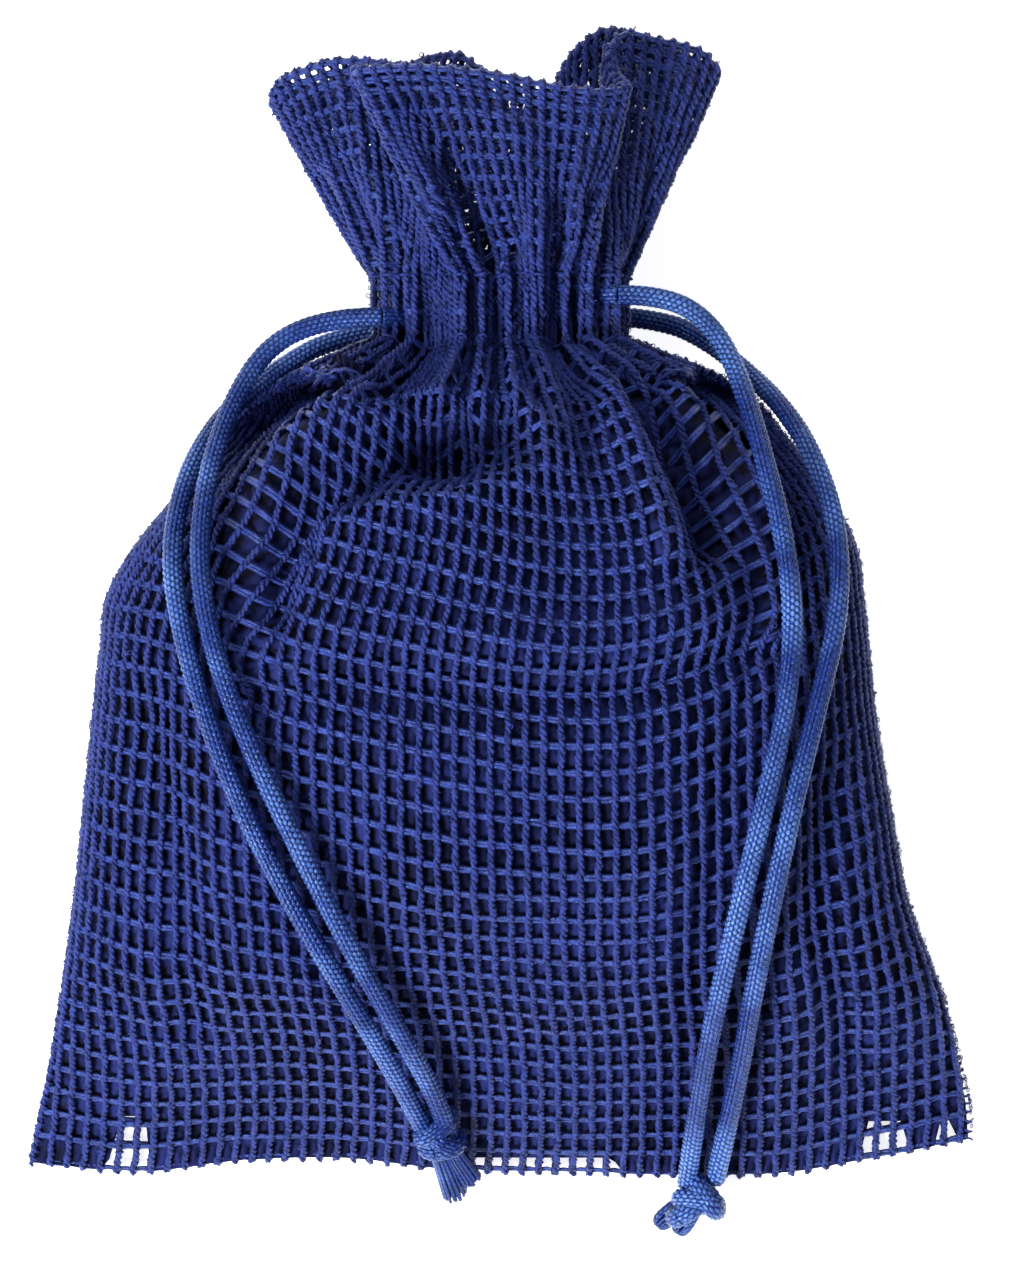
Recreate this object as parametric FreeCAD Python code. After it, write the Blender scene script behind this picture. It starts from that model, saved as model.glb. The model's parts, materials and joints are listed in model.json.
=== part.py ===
"""Small mesh laundry bag with two drawstrings, lying on its back.

The bag is a tube of open net, 150 mm wide when flat, folded at the bottom and sewn up both sides.
Its top edge is turned in, which makes a double frill and, below that, a channel for the drawstrings.
The drawstrings are drawn up, so the net is gathered into a neck, and a dark lining backs the net.

Frame: millimetres, +Z up, +Y from the bottom fold to the mouth, origin on the floor under the middle.
Run from the build folder, it writes one STEP for each piece to parts/.
"""

import FreeCAD, Part

import math
import os

from FreeCAD import Vector

os.makedirs("parts", exist_ok=True)

# ---------------------------------------------------------------- driving dimensions
NET = 1.2  # thickness of the net
SEAM_HALF = 1.2  # half the width of a side seam
FOLD_Y = -88.5  # upper edge of the strip that the bottom fold takes up
FOLD_WALL = 2.0  # how much further in the hollow starts than the second cross-section
HEM = 1.0  # thickness of each layer of the frill

NECK_LOW = 41.2  # where the body meets the drawstring channel
NECK_HIGH = 50.9  # where the channel meets the frill
NECK_Z = 21.0  # height of the middle of the neck
STITCH = 1.2  # width of a row of channel stitching
CHANNEL_WALL = 2.4  # thickness of the gathered inner wall of the channel
CHANNEL_WALL_HALF = 7.5  # half its width

CORD = 3.2  # diameter of the satin cord
CORD_GAP = 0.3  # clearance round a cord
LEG = 8.6  # height of a cord above and below NECK_Z in the channel
TURN_X = 16.6  # where a cord turns back at the far end of the channel
TURN_RADIUS = 3.6
EXIT_X = 18.6  # where a cord leaves the channel
BEND_SHARE = 0.45  # share of the shorter run that each bend of a free cord takes up

LINER_GAP = 0.6  # between the net and the lining
LINER = 0.5  # thickness of the lining

TAIL = 2.6  # diameter of a cord's end past the knot

# Cross-sections of the outside, from the bottom fold up: y, half width at -X, half width at +X,
# height of the underside, of the side seam and of the top, and roundness, which is 1 for an ellipse.
BODY = [
    (-91, 75.6, 75.6, 0.0, 1.3, 2.6, 0.95),
    (-85, 74.6, 75.0, -0.3, 3.4, 9.0, 0.95),
    (-77, 73.0, 73.6, -1.0, 7.0, 18.0, 0.95),
    (-63, 70.0, 71.0, -1.0, 14.0, 34.0, 0.95),
    (-48, 67.2, 66.5, -1.0, 19.0, 45.0, 0.95),
    (-32, 65.8, 62.5, -1.0, 22.0, 51.0, 0.95),
    (-16, 64.0, 59.8, -1.0, 23.0, 54.0, 0.95),
    (-2, 62.4, 58.5, -1.0, 23.0, 54.5, 0.95),
    (8, 58.6, 56.5, -0.6, 23.0, 53.5, 0.95),
    (16, 52.6, 53.0, 0.6, 22.8, 51.0, 0.92),
    (25, 44.5, 47.5, 2.6, 22.3, 47.0, 0.88),
    (34, 33.6, 35.5, 5.6, 21.6, 41.0, 0.78),
    (NECK_LOW, 20.2, 20.2, 8.3, 21.0, 33.7, 0.5),
]
NECK = [
    (NECK_LOW, 20.2, 20.2, 8.3, 21.0, 33.7, 0.5),
    (NECK_HIGH, 20.2, 20.2, 8.3, 21.0, 33.7, 0.5),
]
FRILL = [
    (NECK_HIGH, 20.2, 20.2, 8.3, 21.0, 33.7, 0.5),
    (60, 26.5, 25.0, 6.0, 21.0, 35.5, 0.7),
    (70, 32.0, 29.5, 4.0, 21.0, 38.0, 0.8),
    (80, 35.5, 33.0, 2.8, 21.0, 40.5, 0.85),
    (91, 36.8, 35.5, 2.0, 21.0, 42.0, 0.85),
]
SECTION_POINTS = 24

LEFT_Y = NECK_LOW + STITCH + CORD_GAP + CORD / 2
RIGHT_Y = LEFT_Y + CORD + CORD_GAP
HIGH = NECK_Z + LEG
LOW = NECK_Z - LEG

# Routes of the free cords: out of the channel, over the shoulder, down the front and into the knot.
LEFT_OVER = [
    (-EXIT_X, LEFT_Y, HIGH), (-26.5, LEFT_Y, HIGH), (-36.3, 40.2, 30.4), (-42.2, 30.5, 34.5),
    (-45.8, 18.5, 41.0), (-46.9, 5.0, 46.5), (-44.0, -9.5, 49.4), (-38.2, -24.0, 50.5),
    (-31.0, -39.0, 49.3), (-23.5, -54.0, 43.5), (-15.5, -68.5, 32.0), (-10.0, -79.0, 21.2), (-8.0, -85.5, 14.8),
]
LEFT_UNDER = [
    (-EXIT_X, LEFT_Y, LOW), (-27.0, LEFT_Y, LOW), (-34.6, 39.2, 15.0), (-40.3, 33.5, 21.6),
    (-45.2, 27.2, 30.2), (-49.4, 18.5, 37.2), (-51.3, 7.0, 42.9), (-49.4, -5.0, 46.6), (-45.6, -18.0, 48.5),
    (-40.0, -32.5, 48.6), (-32.5, -47.0, 45.8), (-24.5, -61.0, 38.2), (-17.8, -72.6, 27.8), (-12.0, -84.5, 15.4),
]
RIGHT_OVER = [
    (EXIT_X, RIGHT_Y, HIGH), (26.5, RIGHT_Y, HIGH), (33.8, 42.8, 30.4), (37.8, 34.0, 34.8),
    (40.8, 23.0, 42.3), (43.9, 10.5, 46.2), (45.6, -3.0, 47.4), (44.4, -17.0, 48.0),
    (41.0, -32.0, 47.8), (37.2, -48.0, 44.6), (34.0, -63.5, 35.6), (31.8, -77.0, 22.4), (30.0, -94.0, 6.0),
]
RIGHT_UNDER = [
    (EXIT_X, RIGHT_Y, LOW), (26.8, RIGHT_Y, LOW), (34.0, 43.4, 15.0), (39.8, 37.2, 20.8),
    (44.9, 30.6, 28.4), (49.4, 22.0, 35.4), (52.8, 11.0, 39.2), (52.9, -2.0, 42.3), (49.7, -15.0, 45.2),
    (45.8, -30.5, 46.1), (42.4, -46.5, 43.5), (39.6, -62.0, 35.6), (37.8, -76.0, 22.6), (34.6, -93.2, 6.6),
]

# Knots: centre, then size across, along and up. Tails: start inside the knot, then end.
LEFT_KNOT = ((-9.8, -85.6, 14.7), (7.6, 8.4, 7.4))
LEFT_TAILS = (((-11.0, -87.0, 13.2), (-8.0, -96.0, 5.2)), ((-7.6, -87.0, 13.9), (-4.0, -93.6, 7.6)))
RIGHT_KNOT = ((31.6, -95.4, 4.5), (9.2, 8.0, 8.4))
RIGHT_TAILS = (((29.2, -97.0, 3.6), (25.4, -101.4, 1.9)), ((32.4, -97.5, 3.6), (29.8, -103.0, 1.9)))


# ---------------------------------------------------------------- shapes
def section(row, inset=0.0, floor=None):
    """A closed curve across the bag at one y."""
    y, left, right, low, seam, top, roundness = row
    low += inset
    if floor is not None:
        low = max(low, floor)
    top -= inset
    seam = min(max(seam, low + 0.2), top - 0.2)
    points = []
    for i in range(SECTION_POINTS):
        angle = 2 * math.pi * i / SECTION_POINTS
        across, up = math.cos(angle), math.sin(angle)
        half = (right if across > 0 else left) - inset
        rise = top - seam if up > 0 else seam - low
        power = roundness if up > 0 else min(roundness, 0.62)
        x = half * math.copysign(abs(across) ** power, across)
        z = seam + rise * math.copysign(abs(up) ** power, up)
        points.append(Vector(x, y, z))
    curve = Part.BSplineCurve()
    knots = [i / SECTION_POINTS for i in range(SECTION_POINTS + 1)]
    curve.interpolate(Points=points, PeriodicFlag=True, Parameters=knots)
    return Part.Wire(curve.toShape())


def loft(rows, inset=0.0, floor=None):
    return Part.makeLoft([section(row, inset, floor) for row in rows], True, True)


def slab(y0=-120, y1=120, z0=-50, z1=120, x0=-120, x1=120):
    return Part.makeBox(x1 - x0, y1 - y0, z1 - z0, Vector(x0, y0, z0))


def above_seam(rows, shift):
    """Everything above the line of the side seams, with the line raised by shift."""
    line = [Vector(-120, row[0], row[4] + shift) for row in rows]
    start, end = line[0], line[-1]
    line = [start - Vector(0, 1, 0)] + line + [end + Vector(0, 1, 0)]
    top = [Vector(-120, line[-1].y, 120), Vector(-120, line[0].y, 120)]
    return Part.Face(Part.makePolygon(line + top + [line[0]])).extrude(Vector(240, 0, 0))


def save(name, shape):
    solids = shape.Solids
    whole = solids[0] if len(solids) == 1 else Part.makeCompound(solids)
    print(f"{name}: solids {len(solids)}, valid {whole.isValid()}, volume {whole.Volume:.1f}")
    whole.exportStep(f"parts/{name}.step")
    return whole


def route_path(name, route):
    """Straight runs joined by tangent arcs, each arc as large as its two runs allow."""
    points = [Vector(*p) for p in route]
    edges = []
    radii = []
    last = points[0]
    for before, corner, after in zip(points, points[1:], points[2:]):
        run_in, run_out = corner - before, after - corner
        half_turn = run_in.getAngle(run_out) / 2
        reach = BEND_SHARE * min(run_in.Length, run_out.Length)
        radius = reach / math.tan(half_turn)
        radii.append(radius)
        run_in.normalize()
        run_out.normalize()
        inward = run_out - run_in
        inward.normalize()
        start, end = corner - run_in * reach, corner + run_out * reach
        middle = corner + inward * radius * (1 / math.cos(half_turn) - 1)
        edges.append(Part.LineSegment(last, start).toShape())
        edges.append(Part.Arc(start, middle, end).toShape())
        last = end
    edges.append(Part.LineSegment(last, points[-1]).toShape())
    path = Part.Wire(edges)
    print(f"{name}: length {path.Length:.1f}, radii {min(radii):.1f} to {max(radii):.1f}")
    return path


def tube(name, path):
    first = path.OrderedEdges[0]
    start, direction = first.valueAt(first.FirstParameter), first.tangentAt(first.FirstParameter)
    pipe = Part.BRepOffsetAPI.MakePipeShell(path)
    pipe.add(Part.Wire(Part.makeCircle(CORD / 2, start, direction)))
    pipe.build()
    pipe.makeSolid()
    shape = pipe.shape()
    section_area = math.pi * CORD**2 / 4
    print(f"{name}: volume over section times length {shape.Volume / (section_area * path.Length):.4f}")
    return shape


def knot(centre, size):
    """A rounded lump of the given size across, along and up."""
    ball = Part.makeSphere(1.0)
    stretch = FreeCAD.Matrix()
    stretch.scale(*[s / 2 for s in size])
    ball = ball.transformGeometry(stretch)
    ball.translate(Vector(*centre))
    return ball


def tail(start, end, radius):
    start, end = Vector(*start), Vector(*end)
    return Part.makeCylinder(radius, (end - start).Length, start, end - start)


# ---------------------------------------------------------------- body
def build_body():
    outer = loft(BODY).cut(slab(z1=0))
    wall = outer.cut(loft([shifted(BODY[1], FOLD_WALL)] + BODY[2:], NET, floor=NET))
    strip = slab(y1=FOLD_Y)
    panels = wall.cut(strip)
    above, below = above_seam(BODY, SEAM_HALF), above_seam(BODY, -SEAM_HALF)
    seams = panels.common(below).cut(above)
    save("bottom_fold", wall.common(strip))
    save("net_front", panels.common(above))
    save("net_back", panels.cut(below))
    save("side_seam_left", seams.common(slab(x1=0)))
    save("side_seam_right", seams.common(slab(x0=0)))


def build_lining():
    inset = NET + LINER_GAP
    rows = BODY[2:-1]
    hollow = [shifted(rows[0], LINER)] + rows[1:-1] + [shifted(rows[-1], LINER)]
    skin = loft(rows, inset, floor=inset)
    save("lining", skin.cut(loft(hollow, inset + LINER, floor=inset + LINER)))


def shifted(row, along):
    return (row[0] + along,) + row[1:]


# ---------------------------------------------------------------- channel
def cord_holes():
    """The room that the four ends of the drawstrings need where they leave the channel."""
    holes = []
    for y, side in ((LEFT_Y, -1), (RIGHT_Y, 1)):
        for z in (HIGH, LOW):
            holes.append(Part.makeCylinder(CORD / 2 + CORD_GAP, 30, Vector(0, y, z), Vector(side, 0, 0)))
    return holes[0].multiFuse(holes[1:])


def build_channel():
    outer = loft(NECK)
    hollow = loft([shifted(NECK[0], -1), shifted(NECK[1], 1)], NET)
    wall = outer.cut(hollow).cut(cord_holes())
    wall_out = LEG - CORD / 2 - CORD_GAP
    wall_in = wall_out - CHANNEL_WALL
    for name, low, high in (("front", wall_in, wall_out), ("back", -wall_out, -wall_in)):
        towards_front = name == "front"
        half = slab(z0=NECK_Z) if towards_front else slab(z1=NECK_Z)
        save(f"channel_outer_{name}", wall.common(half))
        width = {"x0": -CHANNEL_WALL_HALF, "x1": CHANNEL_WALL_HALF}
        save(f"channel_inner_{name}", slab(NECK_LOW, NECK_HIGH, NECK_Z + low, NECK_Z + high, **width))
        span = {"z0": NECK_Z + high} if towards_front else {"z1": NECK_Z + low}
        rows = (("lower", NECK_LOW, NECK_LOW + STITCH), ("upper", NECK_HIGH - STITCH, NECK_HIGH))
        for place, y0, y1 in rows:
            save(f"stitching_{place}_{name}", hollow.common(slab(y0, y1, **span, **width)))


# ---------------------------------------------------------------- frill
def build_frill():
    inner_rows = [shifted(FRILL[0], -1)] + FRILL[1:-1] + [shifted(FRILL[-1], 1)]
    outside = loft(FRILL)
    between = loft(inner_rows, HEM)
    inside = loft(inner_rows, 2 * HEM)
    fold = slab(y0=FRILL[-1][0] - HEM)
    save("mouth_fold", outside.cut(inside).common(fold))
    for name, half in (("front", slab(z0=NECK_Z)), ("back", slab(z1=NECK_Z))):
        save(f"frill_outer_{name}", outside.cut(between).cut(fold).common(half))
        save(f"frill_inner_{name}", outside.common(between).cut(inside).cut(fold).common(half))


# ---------------------------------------------------------------- drawstrings
def loop_path(y, side):
    """A cord's path in the channel: in along the front, round the far end and out along the back."""
    far = -side * TURN_X
    near = side * EXIT_X
    bend = side * TURN_RADIUS
    slope = TURN_RADIUS * (1 - math.sqrt(0.5))
    cut = side * slope
    front, back = HIGH - TURN_RADIUS, LOW + TURN_RADIUS
    edges = [
        Part.LineSegment(Vector(near, y, HIGH), Vector(far + bend, y, HIGH)).toShape(),
        Part.Arc(Vector(far + bend, y, HIGH), Vector(far + cut, y, HIGH - slope), Vector(far, y, front)).toShape(),
        Part.LineSegment(Vector(far, y, front), Vector(far, y, back)).toShape(),
        Part.Arc(Vector(far, y, back), Vector(far + cut, y, LOW + slope), Vector(far + bend, y, LOW)).toShape(),
        Part.LineSegment(Vector(far + bend, y, LOW), Vector(near, y, LOW)).toShape(),
    ]
    return Part.Wire(edges)


def build_drawstring(side_name, side, y, over, under, lump, tails):
    save(f"drawstring_{side_name}", tube(f"drawstring_{side_name}", loop_path(y, side)))
    knot_shape = knot(*lump)
    for name, route in (("over", over), ("under", under)):
        node = f"cord_{side_name}_{name}"
        save(node, tube(node, route_path(node, route)).cut(knot_shape))
    save(f"knot_{side_name}", knot_shape)
    for name, ends in zip(("long", "short"), tails):
        save(f"tail_{side_name}_{name}", tail(*ends, TAIL / 2).cut(knot_shape))


if __name__ == "__main__":
    build_body()
    build_lining()
    build_channel()
    build_frill()
    build_drawstring("left", -1, LEFT_Y, LEFT_OVER, LEFT_UNDER, LEFT_KNOT, LEFT_TAILS)
    build_drawstring("right", 1, RIGHT_Y, RIGHT_OVER, RIGHT_UNDER, RIGHT_KNOT, RIGHT_TAILS)
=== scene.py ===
import json
import math

import bpy
import numpy as np
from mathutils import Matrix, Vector


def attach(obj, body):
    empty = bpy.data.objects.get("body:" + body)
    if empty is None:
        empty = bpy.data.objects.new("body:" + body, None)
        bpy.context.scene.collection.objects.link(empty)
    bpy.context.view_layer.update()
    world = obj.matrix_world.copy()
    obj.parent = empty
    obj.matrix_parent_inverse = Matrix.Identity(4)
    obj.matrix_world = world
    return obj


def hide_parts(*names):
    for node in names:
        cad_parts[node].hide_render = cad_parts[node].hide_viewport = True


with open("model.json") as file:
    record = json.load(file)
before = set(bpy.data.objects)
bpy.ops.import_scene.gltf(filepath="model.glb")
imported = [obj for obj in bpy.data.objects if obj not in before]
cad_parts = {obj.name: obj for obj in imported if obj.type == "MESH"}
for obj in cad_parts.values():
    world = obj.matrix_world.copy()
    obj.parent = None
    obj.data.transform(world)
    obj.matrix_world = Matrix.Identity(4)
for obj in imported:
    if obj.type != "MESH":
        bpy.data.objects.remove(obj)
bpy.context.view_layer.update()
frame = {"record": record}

MM = 0.001

# ---------------------------------------------------------------- driving dimensions, in millimetres
WALES = 111  # upright yarns round the bag
BODY_ROWS = 39  # cross yarns from the bottom fold to the channel
CHANNEL_ROWS = 2.5
FRILL_ROWS = 9.5
ROWS = 51
HEM_ROWS = 12  # rows of the layer that is turned in at the rim, down to the lower seam of the channel
GRID = 2  # grid points for each wale and each row
FOLD = 1  # grid rows below the first one, for the bottom fold
WALE_STEPS = 5  # steps along an upright yarn for each grid row
WEFT_STEPS = 2  # steps along a cross yarn for each grid column

PLY = 0.37  # radius of each of an upright yarn's two plies
PLY_GAP = 0.28  # from the middle of the yarn to the middle of a ply
TWIST = 2.05  # length of one turn of the plies
WEFT = 0.37  # radius of each of a cross yarn's two strands
WEFT_GAP = 0.23
LAYER = 1.5  # from the outer layer of the frill to the turned-in one
CORD = 3.2

WALE_PITCH = 2.7  # upright yarns of the net laid flat

BOTTOM = -91.0
NECK_LOW = 41.2
NECK_HIGH = 50.9
PLEATS = 23
PLEATS_START = 11  # rows below the channel where the pleats begin
DEEPEST_PLEAT = 2.3
EVEN_SMOOTHING = 200  # passes that spread the evening out over neighbouring columns
EVEN_SHARE = 0.45
EVEN_SHARE_PLEATED = 0.75
CORD_CLEARANCE = 0.75  # between a cord and the cloth that it lies on
CORD_REACH = 5.0  # how far round a cord the cloth is pressed down
LINING_ROWS = 84
LOOPS_FRONT = 2300
LOOPS_BACK = 900
LOOPS_SEAM = 230
SEAM_STEP = 0.22
SEAM_TURN = 1.55  # length of one turn of a side seam's thread
SEAM_RADIUS = 0.68

CAMERA_HEIGHT = 1.1  # metres, and so are the next two
CAMERA_FOCUS = 0.025
CAMERA_MIDDLE = (0.00103, -0.0065)
FRAME_ROWS = 1280
FRAME_PITCH = 0.158  # millimetres for each of the frame's rows
SENSOR = 24

# Cross-sections from the bottom fold up: y, half width at -X, half width at +X, height of the underside,
# of the side seam and of the top, and roundness, which is 1 for an ellipse.
BODY = np.array([
    (-91, 75.4, 75.6, 0.9, 1.5, 2.2, 1.00),
    (-85, 74.1, 75.1, 0.5, 3.4, 8.6, 1.00),
    (-77, 72.2, 73.4, 0.6, 7.0, 17.6, 0.95),
    (-63, 69.6, 70.0, 0.6, 14.0, 33.5, 0.95),
    (-48, 67.2, 64.4, 0.6, 19.0, 44.8, 0.95),
    (-32, 65.4, 61.2, 0.6, 22.0, 50.8, 0.95),
    (-16, 63.7, 58.6, 0.6, 23.0, 53.6, 0.95),
    (-7, 62.7, 57.8, 0.7, 23.0, 54.2, 0.95),
    (0, 61.9, 57.0, 0.9, 23.0, 53.9, 0.95),
    (8, 57.4, 55.9, 1.2, 23.0, 52.8, 0.95),
    (16, 51.0, 52.0, 1.8, 22.8, 50.2, 0.92),
    (25, 44.6, 45.4, 3.2, 22.3, 46.4, 0.88),
    (34, 35.6, 36.6, 5.6, 21.6, 40.6, 0.78),
    (41.2, 20.0, 20.0, 8.3, 21.0, 33.7, 0.60),
])
LINING_EDGE_X = (-76, -62.6, -62, -57, -56.4, -5.2, -5, 18.8, 19, 58.5, 59, 65.6, 66, 70, 70.4, 73, 73.4, 76)
LINING_EDGE_Y = (-92, -92, -83, -83, -92.5, -92.5, -90, -90, -92.5, -92.5, -84, -84, -90, -90, -84, -84, -90, -89)
BOTTOM_EDGE_X = (-76, -58, -40, -27, -8, 10, 32, 47, 63, 76)
BOTTOM_EDGE_Y = (0.8, -0.7, 1.1, 1.5, -0.5, -0.8, -1.4, -0.8, 2.0, 4.6)

# Rim of the frill, from the left side over the front to the right side and back along the underside.
RIM_FRONT = np.array([
    (-36.2, 79.0, 20.0), (-35.0, 81.6, 24.5), (-31.2, 83.2, 28.0), (-25.5, 84.6, 30.5), (-18.0, 84.2, 31.0),
    (-10.5, 82.5, 31.6), (-8.6, 82.0, 33.4), (-11.0, 82.0, 35.0), (-17.5, 82.4, 35.8), (-22.0, 82.4, 37.2),
    (-22.9, 82.0, 39.2), (-19.5, 82.4, 41.0), (-13.0, 82.6, 42.2), (-5.0, 82.0, 42.6), (2.5, 80.8, 42.4),
    (9.0, 79.6, 41.6), (15.5, 79.0, 40.0), (19.4, 79.6, 37.0), (20.0, 80.5, 33.0), (18.4, 83.0, 28.0),
    (18.0, 87.8, 24.4), (20.6, 89.6, 23.6), (24.6, 88.6, 23.4), (29.0, 87.8, 21.4), (32.8, 86.6, 18.6),
])
RIM_BACK = np.array([
    (34.7, 84.2, 15.6), (34.0, 84.6, 12.4), (29.0, 87.2, 10.2), (22.5, 90.0, 9.6), (17.6, 91.2, 9.2),
    (14.0, 89.6, 9.0), (11.0, 85.6, 7.4), (8.6, 80.4, 5.6), (3.0, 76.6, 5.0), (-1.4, 78.0, 7.0),
    (-2.6, 81.0, 11.0), (-3.8, 84.4, 15.0), (-6.2, 86.6, 16.6), (-9.6, 86.4, 14.4), (-14.0, 85.6, 10.4),
    (-20.0, 84.6, 8.4), (-27.0, 83.0, 10.4), (-33.4, 80.6, 14.6),
])

# Folds of the cloth on the front: points along the fold, half width and height. A hollow has a height below 0.
FOLDS = (
    (((-5, 36), (-14, 33.5), (-26, 29), (-36, 21), (-41, 12), (-42.5, 1), (-40, -10)), 3.8, 4.6),
    (((-12, 27), (-21, 20.5), (-29, 15.5), (-34, 8), (-35.5, -2)), 4.0, -7.0),
    (((-13, 26), (-6, 24), (-1, 27)), 4.4, -8.0),
    (((2, 34), (7.5, 27), (7.5, 20), (-1, 17.2), (-14, 14.5), (-27, 11.5)), 2.2, 3.2),
    (((17, 37), (27, 31.5), (36, 23), (40.5, 12), (41.5, -4)), 3.2, 5.5),
    (((14, 36), (19.5, 27), (23, 16), (26, 8)), 2.6, 3.4),
    (((23, 32), (28, 23.5), (31.5, 16), (33, 9)), 3.2, -10.0),
    (((-40, -15.5), (-18, -14.6), (2, -16.2), (22, -14.4), (42, -7)), 2.6, -2.8),
    (((-30, -5), (-10, -6), (10, -7), (30, -4)), 5.0, 2.4),
    (((-56, -18), (-51, -42), (-49, -66)), 4.0, -2.2),
    (((-64, -58), (-40, -60), (-20, -56)), 6.0, 1.4),
    (((52, -30), (50, -50), (56, -72)), 4.0, -2.4),
    (((22, -40), (0, -46), (-18, -42)), 6.0, 1.2),
    (((-20, -70), (8, -72), (28, -68)), 5.0, -1.2),
)

FRILL_FOLDS = (
    (((-13, 74), (-7.5, 68), (-4, 61), (-1, 53)), 3.2, -6.5),
    (((2, 71), (4.5, 64), (5, 57)), 3.4, 3.0),
    (((-16, 66), (-10, 58), (-6, 52)), 1.8, 2.4),
    (((9, 60), (8, 52)), 1.7, -4.5),
    (((12.5, 68), (13, 60), (13.5, 53)), 2.4, 2.2),
    (((-8, 77), (2, 74), (12, 75)), 3.0, 1.6),
    (((27, 80), (24, 66), (19, 55)), 2.6, -3.5),
    (((-29, 78), (-24, 64), (-18, 53)), 2.0, -2.6),
    (((-25, 80), (-20.5, 66), (-16, 55)), 1.6, 1.8),
)

# Routes of the free cords, in millimetres.
EXIT_X = 18.6
LEFT_Y = 44.3
RIGHT_Y = 47.8
HIGH = 29.6
LOW = 12.4
ROUTES = {
    "cord_left_over": [
        (-EXIT_X, LEFT_Y, HIGH), (-26.5, LEFT_Y, HIGH), (-36.3, 40.2, 30.4), (-42.2, 30.5, 34.5),
        (-45.8, 18.5, 41.0), (-46.9, 5.0, 46.5), (-44.0, -9.5, 49.4), (-38.2, -24.0, 50.5),
        (-31.0, -39.0, 49.3), (-23.5, -54.0, 43.5), (-15.5, -68.5, 32.0), (-10.0, -79.0, 21.2), (-8.0, -85.5, 14.8),
    ],
    "cord_left_under": [
        (-EXIT_X, 43.0, 12.8), (-27.0, 41.6, 13.2), (-34.2, 37.4, 16.4), (-40.1, 32.6, 22.4),
        (-45.2, 27.0, 30.2), (-49.4, 18.5, 37.2), (-51.3, 7.0, 42.9), (-49.4, -5.0, 46.6), (-45.6, -18.0, 48.5),
        (-40.0, -32.5, 48.6), (-32.5, -47.0, 45.8), (-24.5, -61.0, 38.2), (-17.8, -72.6, 27.8), (-12.0, -84.5, 15.4),
    ],
    "cord_right_over": [
        (EXIT_X, RIGHT_Y, HIGH), (26.5, RIGHT_Y, HIGH), (33.8, 42.8, 30.4), (37.8, 34.0, 34.8),
        (40.8, 23.0, 42.3), (43.9, 10.5, 46.2), (45.6, -3.0, 47.4), (44.4, -17.0, 48.0),
        (41.0, -32.0, 47.8), (37.2, -48.0, 44.6), (34.0, -63.5, 35.6), (31.8, -77.0, 22.4), (30.0, -94.0, 6.0),
    ],
    "cord_right_under": [
        (EXIT_X, 45.2, 12.8), (26.2, 44.6, 13.0), (32.8, 41.4, 15.5), (38.8, 36.4, 20.8),
        (44.7, 30.2, 28.4), (49.4, 22.0, 35.4), (52.8, 11.0, 39.2), (52.9, -2.0, 42.3), (49.7, -15.0, 45.2),
        (45.8, -30.5, 46.1), (42.4, -46.5, 43.5), (39.6, -62.0, 35.6), (37.8, -76.0, 22.6), (34.6, -93.2, 6.6),
    ],
}


# ---------------------------------------------------------------- numbers
def hermite(x, xs, ys):
    """Smooth values between knots; ys may have several columns."""
    xs, ys = np.asarray(xs, float), np.asarray(ys, float)
    slope = np.gradient(ys, xs, axis=0)
    i = np.clip(np.searchsorted(xs, x, side="right") - 1, 0, len(xs) - 2)
    step = xs[i + 1] - xs[i]
    t = np.clip((x - xs[i]) / step, 0, 1)
    if ys.ndim > 1:
        t, step = t[..., None], step[..., None]
    a, b = ys[i], ys[i + 1]
    return (
        (2 * t**3 - 3 * t**2 + 1) * a + (t**3 - 2 * t**2 + t) * step * slope[i]
        + (3 * t**2 - 2 * t**3) * b + (t**3 - t**2) * step * slope[i + 1]
    )


def finer(points, steps, axis, closed):
    """Catmull-Rom points between the given ones along one axis."""
    p = np.moveaxis(points, axis, 0)
    if closed:
        before, after, second = np.roll(p, 1, 0), np.roll(p, -1, 0), np.roll(p, -2, 0)
        start = p
    else:
        padded = np.concatenate([2 * p[:1] - p[1:2], p, 2 * p[-1:] - p[-2:-1]])
        before, start, after, second = padded[:-3], padded[1:-2], padded[2:-1], padded[3:]
    parts = []
    for k in range(steps):
        t = k / steps
        parts.append(
            0.5 * (2 * start + (after - before) * t + (2 * before - 5 * start + 4 * after - second) * t**2
                   + (3 * start - before - 3 * after + second) * t**3)
        )
    out = np.stack(parts, 1).reshape((-1,) + p.shape[1:])
    if not closed:
        out = np.concatenate([out, p[-1:]])
    return np.moveaxis(out, 0, axis)


def unit(v):
    return v / np.maximum(np.linalg.norm(v, axis=-1, keepdims=True), 1e-9)


def even(points, count, closed=False):
    """count points evenly spaced along a polyline."""
    if closed:
        points = np.concatenate([points, points[:1]])
    along = np.concatenate([[0], np.cumsum(np.linalg.norm(np.diff(points, axis=0), axis=1))])
    wanted = np.linspace(0, along[-1], count, endpoint=not closed)
    return np.stack([np.interp(wanted, along, points[:, k]) for k in range(3)], 1)


def smooth_step(x, low, high):
    t = np.clip((x - low) / (high - low), 0, 1)
    return t * t * (3 - 2 * t)


def waves(x, y, seed, scale):
    """Gentle unevenness: a few sines in different directions, from about -1 to 1."""
    local = np.random.default_rng(seed)
    total = 0
    for _ in range(6):
        angle, phase, stretch = local.uniform(0, math.tau, 3)
        size = scale * (0.6 + 0.8 * stretch / math.tau)
        total = total + np.sin((x * math.cos(angle) + y * math.sin(angle)) * math.tau / size + phase)
    return total / 3


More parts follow.
